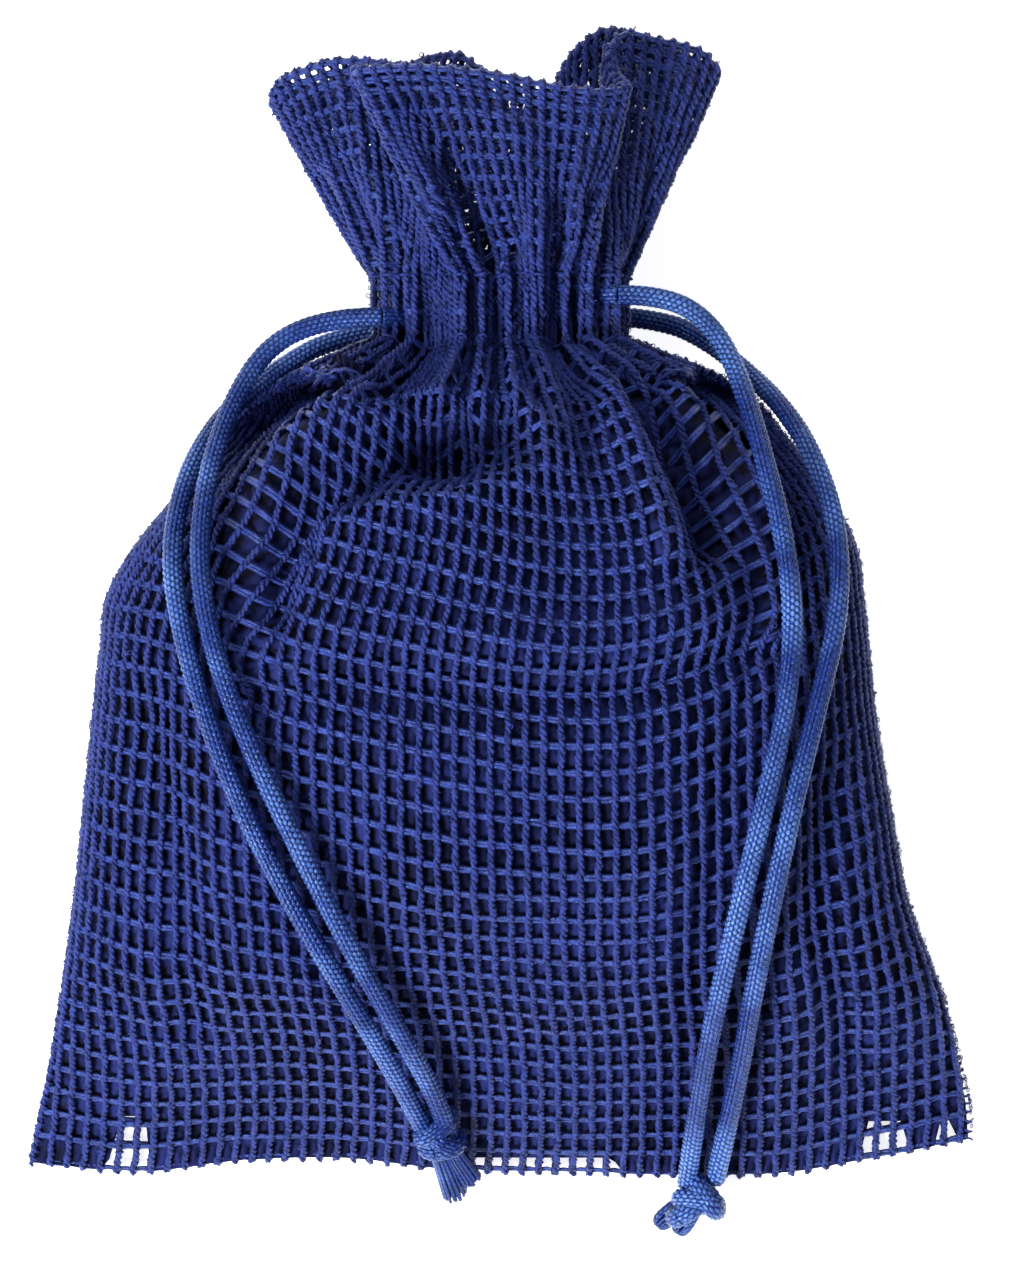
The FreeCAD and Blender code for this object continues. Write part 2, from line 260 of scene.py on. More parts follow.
# ---------------------------------------------------------------- shape of the cloth
def section_point(y, angle):
    row = hermite(y, BODY[:, 0], BODY[:, 1:])
    left, right, low, seam, top, roundness = (row[..., k] for k in range(6))
    across, up = np.cos(angle), np.sin(angle)
    half = np.where(across > 0, right, left)
    rise = np.where(up > 0, top - seam, seam - low)
    power = np.where(up > 0, roundness, np.minimum(roundness, 0.62))
    x = half * np.sign(across) * np.abs(across) ** power
    z = seam + rise * np.sign(up) * np.abs(up) ** power
    return np.stack([x, y, z], -1)


def body_grid():
    """Points of the body, row by row from the fold up and round each row from the left seam over the front."""
    count = BODY_ROWS * GRID + 1
    fraction = np.linspace(0, 1, count)
    ys = np.linspace(BOTTOM, NECK_LOW, 400)
    profile = hermite(ys, BODY[:, 0], BODY[:, 1:])

    def spaced(values):
        along = np.concatenate([[0], np.cumsum(np.hypot(np.diff(ys), np.diff(values)))])
        return np.interp(fraction * along[-1], along, ys)

    side, front, back = spaced(profile[:, :2].mean(1)), spaced(profile[:, 4]), spaced(profile[:, 2])
    fine = np.linspace(0, math.pi, 361)
    rows = []
    for k in range(count):
        halves = []
        for start, middle in ((math.pi, front), (math.tau, back)):
            angle = start - fine
            bend = np.abs(np.cos(angle)) ** 3
            y = middle[k] + (side[k] - middle[k]) * bend
            halves.append(even(section_point(y, angle), WALES * GRID // 2 + 1)[:-1])
        rows.append(np.concatenate(halves))
    grid = np.array(rows)
    edge = hermite(grid[..., 0], BOTTOM_EDGE_X, BOTTOM_EDGE_Y)
    grid[..., 1] += edge * (1 - smooth_step(grid[..., 1], BOTTOM, -55))
    return grid


def rim_curve():
    rim = finer(np.concatenate([RIM_FRONT, RIM_BACK]), 12, 0, True)
    split = len(RIM_FRONT) * 12
    front = even(rim[: split + 1], WALES * GRID // 2 + 1)[:-1]
    back = even(np.concatenate([rim[split:], rim[:1]]), WALES * GRID // 2 + 1)[:-1]
    return np.concatenate([front, back])


def cloth_grid():
    body = body_grid()
    neck = body[-1]
    rim = rim_curve()
    rows = [body]
    channel = int(CHANNEL_ROWS * GRID)
    for k in range(1, channel + 1):
        ring = neck.copy()
        ring[:, 1] = NECK_LOW + (NECK_HIGH - NECK_LOW) * k / channel
        rows.append(ring[None])
    top = rows[-1][0]
    frill = int(FRILL_ROWS * GRID)
    for k in range(1, frill + 1):
        s = k / frill
        spread = s ** 0.92
        ring = top + (rim - top) * np.array([spread, s, spread])
        rows.append(ring[None])
    return np.concatenate(rows)


def turned_in(grid):
    """Rows of the layer that is folded in at the rim and reaches down to the lower seam."""
    inward = -spread_normals(grid, 5) * LAYER
    rows = []
    for k in range(1, HEM_ROWS * GRID + 1):
        source = grid.shape[0] - k
        share = min(1.0, 0.45 + 0.3 * k)
        row = grid[source] + inward[source] * share
        rows.append((row + np.roll(row, -1, 0)) / 2 if k == 1 else np.roll(row, -1, 0))
    return np.concatenate([grid, np.array(rows)])


def with_fold(grid):
    """Adds the row where the front turns into the back."""
    partner = (grid.shape[1] - np.arange(grid.shape[1])) % grid.shape[1]
    fold = (grid[0] + grid[0][partner]) / 2
    fold[:, 1] -= 0.75
    return np.concatenate([fold[None], grid])


def normals(grid):
    """Unit normals that point out of the bag."""
    along = np.gradient(grid, axis=0)
    across = np.roll(grid, -1, 1) - np.roll(grid, 1, 1)
    return unit(np.cross(across, along))


def spread_normals(grid, times):
    n = normals(grid)
    for _ in range(times):
        n = unit(n + np.roll(n, 1, 1) + np.roll(n, -1, 1))
    return n


def add_pleats(grid):
    rows = np.arange(grid.shape[0])[:, None] / GRID
    u = np.arange(grid.shape[1])[None, :] / grid.shape[1]
    spacing = np.linalg.norm(np.roll(grid, -1, 1) - grid, axis=-1) * GRID
    for _ in range(6):
        spacing = (spacing + np.roll(spacing, 1, 1) + np.roll(spacing, -1, 1)) / 3
    ratio = np.maximum(WALE_PITCH / spacing, 1.0)
    neck = BODY_ROWS + CHANNEL_ROWS / 2
    rising = smooth_step(rows, BODY_ROWS - PLEATS_START, BODY_ROWS - 0.5)
    falling = 1 - smooth_step(rows, neck + 1.2, ROWS - 2.5)
    fade = np.where(rows < BODY_ROWS, rising, falling)
    warp = 0.013 * np.sin(math.tau * 3 * u + 1.0) + 0.009 * np.sin(math.tau * 7 * u + rows * 0.22)
    warp = warp + 0.004 * np.sin(math.tau * 13 * u + rows * 0.5 + 2)
    phase = math.tau * PLEATS * (u + warp)
    length = spacing * WALES / PLEATS
    size = length * np.sqrt(ratio**2 - 1) / 4.3 * fade
    size = size * (1 + 0.3 * np.sin(math.tau * 5 * u + 2.0))
    wave = (1 - np.cos(phase + 0.35 * np.sin(phase))) / 2
    size = np.minimum(size, DEEPEST_PLEAT) * (1 + 0.35 * np.sin(math.tau * 9 * u + 0.6) * np.cos(rows * 0.30))
    partner = (grid.shape[1] - np.arange(grid.shape[1])) % grid.shape[1]
    thickness = np.abs(grid[..., 2] - grid[:, partner, 2])
    size = np.minimum(size, 0.05 + 0.13 * thickness)  # shallow at the side seams, so the two sides don't meet
    return grid - spread_normals(grid, 10) * (size * 2 * wave)[..., None], size


def evened(grid, share):
    """Moves the points along each upright yarn of the body towards even spacing, as cloth that doesn't stretch."""
    top = BODY_ROWS * GRID + 1
    index = np.arange(top)
    wanted = np.empty((top, grid.shape[1]))
    for j in range(grid.shape[1]):
        along = np.concatenate([[0], np.cumsum(np.linalg.norm(np.diff(grid[:top, j], axis=0), axis=1))])
        wanted[:, j] = np.interp(np.linspace(0, along[-1], top), along, index)
    shift = wanted - index[:, None]
    for _ in range(EVEN_SMOOTHING):
        shift = (np.roll(shift, 1, 1) + 2 * shift + np.roll(shift, -1, 1)) / 4
    for j in range(grid.shape[1]):
        place = index + shift[:, j] * share
        column = grid[:top, j].copy()
        grid[:top, j] = np.stack([np.interp(place, index, column[:, k]) for k in range(3)], 1)
    return grid


def distance_to_line(xy, line):
    line = np.asarray(line, float)
    best = np.full(xy.shape[:-1], 1e9)
    for a, b in zip(line, line[1:]):
        run = b - a
        t = np.clip(((xy - a) @ run) / (run @ run), 0, 1)
        best = np.minimum(best, np.linalg.norm(xy - a - t[..., None] * run, axis=-1))
    return best


def add_folds(grid):
    half = grid.shape[1] // 2
    front = grid[:, :half]
    limit = smooth_step(np.arange(half), 2, 16) * (1 - smooth_step(np.arange(half), half - 16, half - 2))
    rows = np.arange(grid.shape[0])[:, None] / GRID
    keep = (1 - smooth_step(rows, BODY_ROWS - 5, BODY_ROWS - 1.5)) * limit[None]
    lift = np.zeros(front.shape[:2])
    for line, width, height in FOLDS:
        lift += height * np.exp(-((distance_to_line(front[..., :2], line) / width) ** 2))
    lift += 0.5 * waves(front[..., 0], front[..., 1], 3, 26)
    grid[:, :half] = front + normals(grid)[:, :half] * (lift * keep)[..., None]
    above = smooth_step(rows, BODY_ROWS + CHANNEL_ROWS, BODY_ROWS + CHANNEL_ROWS + 2) * limit[None]
    lift = np.zeros(front.shape[:2])
    for line, width, height in FRILL_FOLDS:
        lift += height * np.exp(-((distance_to_line(front[..., :2], line) / width) ** 2))
    facing = np.clip(normals(grid)[:, :half, 2], 0, 1)
    grid[:, :half, 2] += lift * above * facing
    return grid


def settle_under_cords(grid, paths):
    """Presses the front of the body down where a cord lies on it."""
    half = grid.shape[1] // 2
    top = (BODY_ROWS - 3) * GRID
    part = grid[:top, :half]
    clear = CORD / 2 + CORD_CLEARANCE
    for path in paths:
        for point in path[::4]:
            offset = part[..., :2] - point[:2]
            near = np.exp(-((offset**2).sum(-1)) / CORD_REACH**2)
            above = part[..., 2] + clear - point[2]
            part[..., 2] -= np.maximum(above, 0) * np.where(near > 0.35, 1, near / 0.35) * (near > 0.05)
    grid[:top, :half] = part
    return grid


# ---------------------------------------------------------------- meshes
def make_object(name, vertices, faces, *materials, second=0):
    """A mesh of quads, with vertices in millimetres. The last faces, second of them, have the second material."""
    mesh = bpy.data.meshes.new(name)
    vertices = np.ascontiguousarray(vertices, dtype=np.float32) * MM
    faces = np.ascontiguousarray(faces, dtype=np.int32)
    mesh.vertices.add(len(vertices))
    mesh.vertices.foreach_set("co", vertices.ravel())
    mesh.loops.add(faces.size)
    mesh.loops.foreach_set("vertex_index", faces.ravel())
    mesh.polygons.add(len(faces))
    mesh.polygons.foreach_set("loop_start", np.arange(0, faces.size, faces.shape[1], dtype=np.int32))
    mesh.polygons.foreach_set("use_smooth", np.full(len(faces), True))
    if second:
        mesh.polygons.foreach_set("material_index", (np.arange(len(faces)) >= len(faces) - second).astype(np.int32))
    mesh.update(calc_edges=True)
    mesh.validate()
    obj = bpy.data.objects.new(name, mesh)
    bpy.context.scene.collection.objects.link(obj)
    for material in materials:
        mesh.materials.append(material)
    return obj


def tubes(lines, up, radius, sides, closed=False, flat=1.0):
    """Tubes along many lines of the same number of points. up is one direction for each point."""
    if closed:
        along = np.roll(lines, -1, 1) - np.roll(lines, 1, 1)
    else:
        along = np.gradient(lines, axis=1)
    along = unit(along)
    across = unit(np.cross(along, up))
    up = np.cross(across, along)
    count, steps = lines.shape[:2]
    radius = np.broadcast_to(radius, (count, steps))[..., None]
    rings = []
    for k in range(sides):
        angle = math.tau * k / sides
        rings.append(lines + radius * (across * math.cos(angle) + up * math.sin(angle) * flat))
    vertices = np.stack(rings, 2).reshape(-1, 3)
    i, j, k = np.meshgrid(np.arange(count), np.arange(steps if closed else steps - 1), np.arange(sides), indexing="ij")
    next_j, next_k = (j + 1) % steps, (k + 1) % sides

    def index(jj, kk):
        return (i * steps + jj) * sides + kk

    faces = np.stack([index(j, k), index(next_j, k), index(next_j, next_k), index(j, next_k)], -1).reshape(-1, 4)
    return vertices, faces


def capped(vertices, faces, count, steps, sides):
    """Closes the two ends of each open tube with quads; sides is 4 or 6."""
    caps = []
    first = np.arange(count) * steps * sides
    last = first + (steps - 1) * sides
    fans = [(0, 1, 2, 3)] if sides == 4 else [(0, 1, 2, 3), (0, 3, 4, 5)]
    for a, b, c, d in fans:
        caps.append(np.stack([first + a, first + b, first + c, first + d], 1))
        caps.append(np.stack([last + d, last + c, last + b, last + a], 1))
    return vertices, np.concatenate([faces] + caps)


def joined(parts):
    vertices, faces, shift = [], [], 0
    for v, f in parts:
        vertices.append(v)
        faces.append(f + shift)
        shift += len(v)
    return np.concatenate(vertices), np.concatenate(faces)


def wale_plies(grid, seed):
    """The two plies of every upright yarn, over the whole cloth: centres, outward directions and radii."""
    local = np.random.default_rng(seed)
    n = spread_normals(grid, 1)
    columns = slice(0, None, GRID)
    lines = finer(grid[:, columns].transpose(1, 0, 2), WALE_STEPS, 1, False)
    ups = unit(finer(n[:, columns].transpose(1, 0, 2), WALE_STEPS, 1, False))
    count, steps = lines.shape[:2]
    across = unit(np.cross(unit(np.gradient(lines, axis=1)), ups))
    length = np.concatenate([np.zeros((count, 1)), np.cumsum(np.linalg.norm(np.diff(lines, axis=1), axis=2), 1)], 1)

    def ripple(period, size):
        stretch = 1 + local.uniform(-0.2, 0.2, (count, 1))
        return size * np.sin(math.tau * length / (period * stretch) + local.uniform(0, math.tau, (count, 1)))

    phase = math.tau * length / TWIST + local.uniform(0, math.tau, (count, 1)) + ripple(9, 0.7)
    sway = ripple(7.3, 0.10) + ripple(3.1, 0.05)
    thick = PLY * (1 + ripple(3.4, 0.10) + local.normal(0, 0.09, (count, steps)))
    plies = []
    for turn in (0, math.pi):
        offset = PLY_GAP * (np.cos(phase + turn)[..., None] * across + np.sin(phase + turn)[..., None] * ups)
        rough = local.normal(0, 0.045, (count, steps, 3))
        plies.append((lines + offset + across * sway[..., None] + ups * 0.12 + rough, ups, thick))
    return plies


def wale_piece(plies, columns, first, last, sides=4):
    """Part of the upright yarns: some columns, between two grid rows."""
    steps = slice(first * WALE_STEPS, last * WALE_STEPS + 1)
    parts = []
    for centre, ups, thick in plies:
        part = centre[columns, steps]
        tube = tubes(part, ups[columns, steps], thick[columns, steps], sides)
        parts.append(capped(*tube, part.shape[0], part.shape[1], 4) if sides == 4 else tube)
    return joined(parts)


def weft_strands(grid, seed):
    """The two strands of every cross yarn: for each grid row, centres, outward directions and radii."""
    local = np.random.default_rng(seed)
    n = spread_normals(grid, 1)
    lines = finer(grid, WEFT_STEPS, 1, True)
    ups = unit(finer(n, WEFT_STEPS, 1, True))
    count, steps = lines.shape[:2]
    across = unit(np.cross(ups, unit(np.roll(lines, -1, 1) - np.roll(lines, 1, 1))))
    place = np.arange(steps) / (WEFT_STEPS * GRID)
    strands = []
    for side in (-1, 1):
        shift = local.uniform(0, math.tau, (count, 1))
        wave = 0.04 * np.cos(math.tau * place * 0.5 + shift) + 0.05 * np.sin(place * 0.9 + 2 * shift)
        lift = 0.10 * np.cos(math.tau * place) - 0.20
        rough = local.normal(0, 0.03, (count, steps, 3))
        centre = lines + across * (side * WEFT_GAP + wave)[..., None] + ups * lift[..., None] + rough
        strands.append((centre, ups, WEFT * (1 + local.normal(0, 0.07, (count, steps)))))
    return strands


def weft_piece(strands, rows, first, last):
    """Part of the cross yarns: some grid rows, between two grid columns."""
    steps = slice(first * WEFT_STEPS, last * WEFT_STEPS + 1)
    parts = []
    for centre, ups, thick in strands:
        part = np.concatenate([centre, centre[:, :1]], 1)[rows][:, steps]
        up = np.concatenate([ups, ups[:, :1]], 1)[rows][:, steps]
        radius = np.concatenate([thick, thick[:, :1]], 1)[rows][:, steps]
        tube = tubes(part, up, radius, 4, flat=0.62)
        parts.append(capped(*tube, part.shape[0], part.shape[1], 4))
    return joined(parts)


def loops(places, outward, along, seed, size, thread):
    """Little loops of loose fibre that stand out of the yarns."""
    local = np.random.default_rng(seed)
    count = len(places)
    turn = local.uniform(0, math.pi, count)[:, None]
    side = unit(np.cross(outward, along))
    flat = unit(along * np.cos(turn) + side * np.sin(turn))
    lean = unit(outward + side * local.uniform(-1.2, 1.2, (count, 1)) + along * local.uniform(-0.8, 0.8, (count, 1)))
    radius = (size * local.uniform(0.55, 1.25, count))[:, None]
    points = []
    steps = 8
    for k in range(steps):
        angle = math.tau * (k / (steps - 1) * 0.92 - 0.46)
        points.append(places + lean * radius * (math.cos(angle) + 0.75) + flat * radius * math.sin(angle))
    lines = np.stack(points, 1)
    ups = np.repeat(np.cross(lean, flat)[:, None], steps, 1)
    return tubes(lines, ups, thread, 3)


# ---------------------------------------------------------------- materials
def new_material(name):
    material = bpy.data.materials.new(name)
    material.use_nodes = True
    nodes = material.node_tree.nodes
    shader = next(n for n in nodes if n.type == "BSDF_PRINCIPLED")
    return material, nodes, material.node_tree.links, shader


def noise_node(nodes, links, place, scale, detail):
    noise = nodes.new("ShaderNodeTexNoise")
    noise.inputs["Scale"].default_value = scale
    noise.inputs["Detail"].default_value = detail
    links.new(place.outputs["Object"], noise.inputs["Vector"])
    return noise.outputs["Fac"]


def ramp_node(nodes, links, value, low, high, dark, light=(1, 1, 1)):
    """A colour ramp from dark at low to light at high."""
    ramp = nodes.new("ShaderNodeValToRGB")
    for element, position, colour in zip(ramp.color_ramp.elements, (low, high), (dark, light)):
        element.position = position
        element.color = (*colour, 1)
    links.new(value, ramp.inputs["Fac"])
    return ramp.outputs["Color"]


def math_node(nodes, links, operation, first, second):
    node = nodes.new("ShaderNodeMath")
    node.operation = operation
    links.new(first, node.inputs[0])
    links.new(second, node.inputs[1])
    return node.outputs["Value"]


def add_bump(nodes, links, shader, height, strength, distance):
    bump = nodes.new("ShaderNodeBump")
    bump.inputs["Strength"].default_value = strength
    bump.inputs["Distance"].default_value = distance
    links.new(height, bump.inputs["Height"])
    links.new(bump.outputs["Normal"], shader.inputs["Normal"])


def mottled(material_parts, colours, scale, bump_scale, bump_strength, distance):
    """Colour that varies over the cloth, and a fine fibre bump."""
    material, nodes, links, shader = material_parts
    place = nodes.new("ShaderNodeTexCoord")
    noise = noise_node(nodes, links, place, scale, 4)
    links.new(ramp_node(nodes, links, noise, 0.36, 0.64, *colours), shader.inputs["Base Color"])
    fibres = noise_node(nodes, links, place, bump_scale, 3)
    add_bump(nodes, links, shader, fibres, bump_strength, distance)
    return material


def yarn_material(name, dark, light, roughness=0.42, specular=0.5):
    parts = new_material(name)
    shader = parts[3]
    shader.inputs["Roughness"].default_value = roughness
    shader.inputs["Specular IOR Level"].default_value = specular
    shader.inputs["Specular Tint"].default_value = (0.55, 0.7, 1.0, 1)
    shader.inputs["Sheen Weight"].default_value = 0.12
    shader.inputs["Sheen Roughness"].default_value = 0.4
    shader.inputs["Sheen Tint"].default_value = (0.2, 0.35, 1.0, 1)
    return mottled(parts, (dark, light), 700, 4500, 0.9, 0.0003)


def satin_material(name):
    """Smooth deep blue with painted glints: pale blue dashes painted on each stitch, in patches, where the threads
    would catch the light.
    """
    parts = new_material(name)
    material, nodes, links, shader = parts
    shader.inputs["Roughness"].default_value = 0.26
    shader.inputs["Specular IOR Level"].default_value = 0.55
    shader.inputs["Specular Tint"].default_value = (0.45, 0.7, 1.0, 1)
    mottled(parts, ((0.0030, 0.009, 0.085), (0.006, 0.019, 0.150)), 900, 2600, 0.5, 0.0003)
    ground = shader.inputs["Base Color"].links[0].from_socket
    # painted glints: the stitch attribute is 1 on each stitch's bulge, and there pale blue is mixed into the colour as
    # a painted highlight
    height = nodes.new("ShaderNodeAttribute")
    height.attribute_name = "stitch"
    place = nodes.new("ShaderNodeTexCoord")
    # random patches where the painted glints show
    patches = noise_node(nodes, links, place, 60, 3)
    strength = ramp_node(nodes, links, patches, 0.46, 0.66, (0.04, 0.04, 0.04))
    share = math_node(nodes, links, "MULTIPLY", height.outputs["Fac"], strength)
    glint_mix = nodes.new("ShaderNodeMix")
    glint_mix.data_type = "RGBA"
    # colour of the painted glints
    glint_mix.inputs[7].default_value = (0.13, 0.27, 0.72, 1)
    links.new(share, glint_mix.inputs[0])
    links.new(ground, glint_mix.inputs[6])
    links.new(glint_mix.outputs[2], shader.inputs["Base Color"])
    return material


def lining_material():
    """A dark cloth with the net's own yarns showing faintly, from coordinates in wales and rows."""
    material, nodes, links, shader = new_material("lining_cloth")
    shader.inputs["Roughness"].default_value = 0.9
    shader.inputs["Specular IOR Level"].default_value = 0.12
    place = nodes.new("ShaderNodeUVMap")
    place.uv_map = "weave"
    here = nodes.new("ShaderNodeTexCoord")
    wander = nodes.new("ShaderNodeTexNoise")
    wander.inputs["Scale"].default_value = 220
    links.new(here.outputs["Object"], wander.inputs["Vector"])
    moved = nodes.new("ShaderNodeVectorMath")
    moved.operation = "MULTIPLY_ADD"
    moved.inputs[1].default_value = (0.9, 0.9, 0.9)
    links.new(wander.outputs["Color"], moved.inputs[0])
    links.new(place.outputs["UV"], moved.inputs[2])
    lines = []
    for direction in ("X", "Y"):
        wave = nodes.new("ShaderNodeTexWave")
        wave.bands_direction = direction
        wave.inputs["Scale"].default_value = 0.3142
        wave.inputs["Distortion"].default_value = 0.5
        links.new(moved.outputs["Vector"], wave.inputs["Vector"])
        lines.append(wave)
    most = math_node(nodes, links, "MAXIMUM", lines[0].outputs["Fac"], lines[1].outputs["Fac"])
    patches = ramp_node(nodes, links, noise_node(nodes, links, here, 45, 3), 0.38, 0.60, (0.3, 0.3, 0.3))
    share = math_node(nodes, links, "MULTIPLY", most, patches)
    colour = ramp_node(nodes, links, share, 0.15, 0.95, (0.001, 0.0015, 0.010), (0.012, 0.018, 0.105))
    links.new(colour, shader.inputs["Base Color"])
    add_bump(nodes, links, shader, most, 0.8, 0.0006)
    return material


YARN = yarn_material("net_yarn", (0.0045, 0.0085, 0.085), (0.018, 0.029, 0.200))
CROSS_YARN = yarn_material("net_cross_yarn", (0.006, 0.012, 0.110), (0.020, 0.040, 0.250), 0.30, 0.8)
THREAD = yarn_material("sewing_thread", (0.005, 0.009, 0.090), (0.014, 0.024, 0.180))
SATIN = satin_material("satin_cord")
LINING = lining_material()


# ---------------------------------------------------------------- cords
def route_line(name, points):
    """Points along the smooth line of a cord's route, in millimetres."""
    curve = bpy.data.curves.new(name + "_route", "CURVE")
    curve.dimensions = "3D"
    curve.resolution_u = 24
    spline = curve.splines.new("NURBS")
    spline.points.add(len(points) - 1)
    for target, point in zip(spline.points, points):
        target.co = (*(c * MM for c in point), 1)
    spline.order_u = 3
    spline.use_endpoint_u = True
    holder = bpy.data.objects.new(name + "_route", curve)
    mesh = bpy.data.meshes.new_from_object(holder)
    line = np.array([v.co[:] for v in mesh.vertices]) / MM
    bpy.data.objects.remove(holder)
    bpy.data.curves.remove(curve)
    bpy.data.meshes.remove(mesh)
    return line


def steady_frame(line):
    """Two directions across a line that turn as little as possible along it."""
    along = unit(np.gradient(line, axis=0))
    first = np.zeros_like(line)
    first[0] = unit(np.cross(along[0], (0.3, 0.2, 1.0)))
    for k in range(1, len(line)):
        first[k] = unit(first[k - 1] - along[k] * (first[k - 1] @ along[k]))
    return first, np.cross(along, first)


def satin_ribs(line, radius=CORD / 2, strands=12, stitch=1.0, step=0.3, seed=0):
    """A knitted satin cord: ribs along it, each a row of short stitch bulges, round a core; also a mask that places a
    painted glint on each bulge.
    """
    length = np.linalg.norm(np.diff(line, axis=0), axis=1).sum()
    line = even(line, int(length / step) + 1)
    a, b = steady_frame(line)
    s = np.linspace(0, length, len(line))
    local = np.random.default_rng(seed)
    half_width = math.pi * radius / strands * 1.25
    middle = radius - half_width * 0.62
    lines, ups, thick, glint_marks = [], [], [], []
    slow_turn = 0.5 * np.sin(s / 23 + seed) + s / 60
    for k in range(strands):
        angle = math.tau * k / strands + slow_turn
        out = a * np.cos(angle)[:, None] + b * np.sin(angle)[:, None]
        beat = np.sin(math.tau * s / stitch + math.pi * k)
        lines.append(line + out * (middle + 0.05 * beat + local.normal(0, 0.015, len(s)))[:, None])
        ups.append(out)
        thick.append(half_width * (0.95 + 0.12 * beat))
        # mask for the painted glints: 1 where a stitch bulges
        glint_marks.append(np.stack([0 * s, np.clip(0.5 + 0.9 * beat, 0, 1), 0 * s, 0 * s], 1))
    tube = tubes(np.array(lines), np.array(ups), np.array(thick), 4, flat=0.62)
    core = tubes(line[None], a[None], middle, 6)
    mesh = joined([capped(*tube, strands, len(line), 4), capped(*core, 1, len(line), 6)])
    return mesh, np.concatenate([np.array(glint_marks).ravel(), np.zeros(len(core[0]))]), line


def add_satin(name, made, body):
    """A satin piece from one or more meshes and the masks of their painted glints."""
    obj = add_piece(name, joined([mesh for mesh, _ in made]), SATIN, body)
    # the stitch attribute holds the mask of the painted glints
    height = obj.data.attributes.new("stitch", "FLOAT", "POINT")
    height.data.foreach_set("value", np.concatenate([h for _, h in made]).astype(np.float32))
    return obj


def make_cords(paths):
    cords = {}
    for seed, (name, line) in enumerate(paths.items()):
        # height here is the mask of the painted glints
        mesh, height, line = satin_ribs(line, seed=seed + 1)
        obj = add_satin(name + "_satin", [(mesh, height)], "drawstring_left" if "left" in name else "drawstring_right")
        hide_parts(name)
        cords[name] = (obj, line)
    return cords


def ring_line(centre, axis, major, minor, start=0.0):
    """A closed oval round an axis; minor lies as near to +Z as it can."""
    axis = unit(np.array(axis, float))
    side = unit(np.cross(axis, (0, 0, 1.0)))
    up = np.cross(side, axis)
    angle = np.linspace(0, math.tau, 40) + start
    wobble = 1 + 0.05 * np.sin(3 * angle + start)
    oval = side * np.cos(angle)[:, None] * major + up * np.sin(angle)[:, None] * minor
    return np.array(centre) + oval * wobble[:, None]


def tail_mesh(start, end, width, seed, fringe):
    """A cut end: ribs that spread out a little, with uneven ends where they are fringed, and a mask for painted glints
    on the ribs.
    """
    local = np.random.default_rng(seed)
    start, end = np.array(start, float), np.array(end, float)
    axis = unit(end - start)
    side = unit(np.cross(axis, (0, 0, 1.0)))
    up = np.cross(side, axis)
    length = np.linalg.norm(end - start)
    lines, ups, thick, glint_marks = [], [], [], []
    steps = 26
    t = np.linspace(0, 1, steps)
    for ring, count in ((1.0, 14), (0.5, 7)):
        for k in range(count):
            angle = math.tau * (k + 0.3 * local.random()) / count
            reach = 1 - fringe * local.random()
            closing = 1 - (0 if fringe > 0.04 else 0.55) * t**8
            spread = ring * (1.05 + (width / 2 - 1.05) * (t * reach) ** 0.9) * closing
            out = side * math.cos(angle) + up * math.sin(angle) * 0.72
            beat = np.sin(t * length * math.tau / 1.0 + math.pi * k)
            lines.append(start + axis * (t * reach * length)[:, None] + out * spread[:, None])
            ups.append(np.repeat(out[None], steps, 0))
            thick.append(0.40 * (1 + 0.12 * beat))
            # mask for the painted glints: 1 where a stitch bulges
            glint_marks.append(np.stack([0 * t, np.clip(0.5 + 0.9 * beat, 0, 1), 0 * t, 0 * t], 1))
    tube = tubes(np.array(lines), np.array(ups), np.array(thick), 4, flat=0.7)
    return capped(*tube, len(lines), steps, 4), np.array(glint_marks).ravel()


LEFT_WRAPS = (
    ((-10.4, -83.9, 15.4), (0.60, -0.65, -0.45), 2.6, 2.2, 0.3),
    ((-9.2, -86.8, 14.0), (0.20, -0.85, -0.50), 2.5, 2.1, 1.1),
    ((-9.7, -85.4, 14.9), (-0.55, -0.75, -0.30), 2.6, 2.0, 2.0),
)
RIGHT_WRAPS = (
    ((33.2, -95.9, 6.2), (-0.80, -0.55, -0.1), 2.8, 2.5, 0.2),
    ((30.3, -97.9, 5.4), (0.55, -0.80, -0.1), 2.6, 2.4, 0.9),
    ((32.0, -96.8, 6.4), (-0.15, -0.95, 0.25), 2.9, 2.2, 1.9),
)


def make_knot(side, wraps, ends):
    body = "drawstring_" + side
    parts = []
    for k, (centre, axis, major, minor, start) in enumerate(wraps):
        # height here is the mask of the painted glints
        mesh, height, _ = satin_ribs(ring_line(centre, axis, major, minor, start), 1.65, 14, 0.9, 0.25, 50 + k)
        parts.append((mesh, height))
    knot = add_satin(f"knot_{side}_satin", parts, body)
    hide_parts("knot_" + side)
    pieces = [knot]
    for name, start, end, width, seed, fringe in ends:
        tail = add_satin(name + "_satin", [tail_mesh(start, end, width, seed, fringe)], body)
        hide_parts(name)
        pieces.append(tail)
    return pieces


def make_loop(side, sign, y):
    """The part of a drawstring that runs through the channel, within the gathers."""
    points = [(sign * EXIT_X, y, HIGH), (sign * 17.2, y, HIGH - 0.2), (sign * 14.5, y, 26.6), (sign * 9, y, 24.2),
              (sign * 1, y, 23.8), (-sign * 7, y, 23.2), (-sign * 10.5, y, 20.8), (-sign * 7, y, 18.6),
              (sign * 1, y, 17.6), (sign * 9, y, 17.2), (sign * 14.5, y, 15.2), (sign * 17.2, y, LOW + 0.2),
              (sign * EXIT_X, y, LOW)]
    # height here is the mask of the painted glints
    mesh, height, _ = satin_ribs(route_line("channel_" + side, points), seed=60)
    obj = add_satin(f"channel_cord_{side}", [(mesh, height)], "drawstring_" + side)
    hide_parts("drawstring_" + side)
    return obj


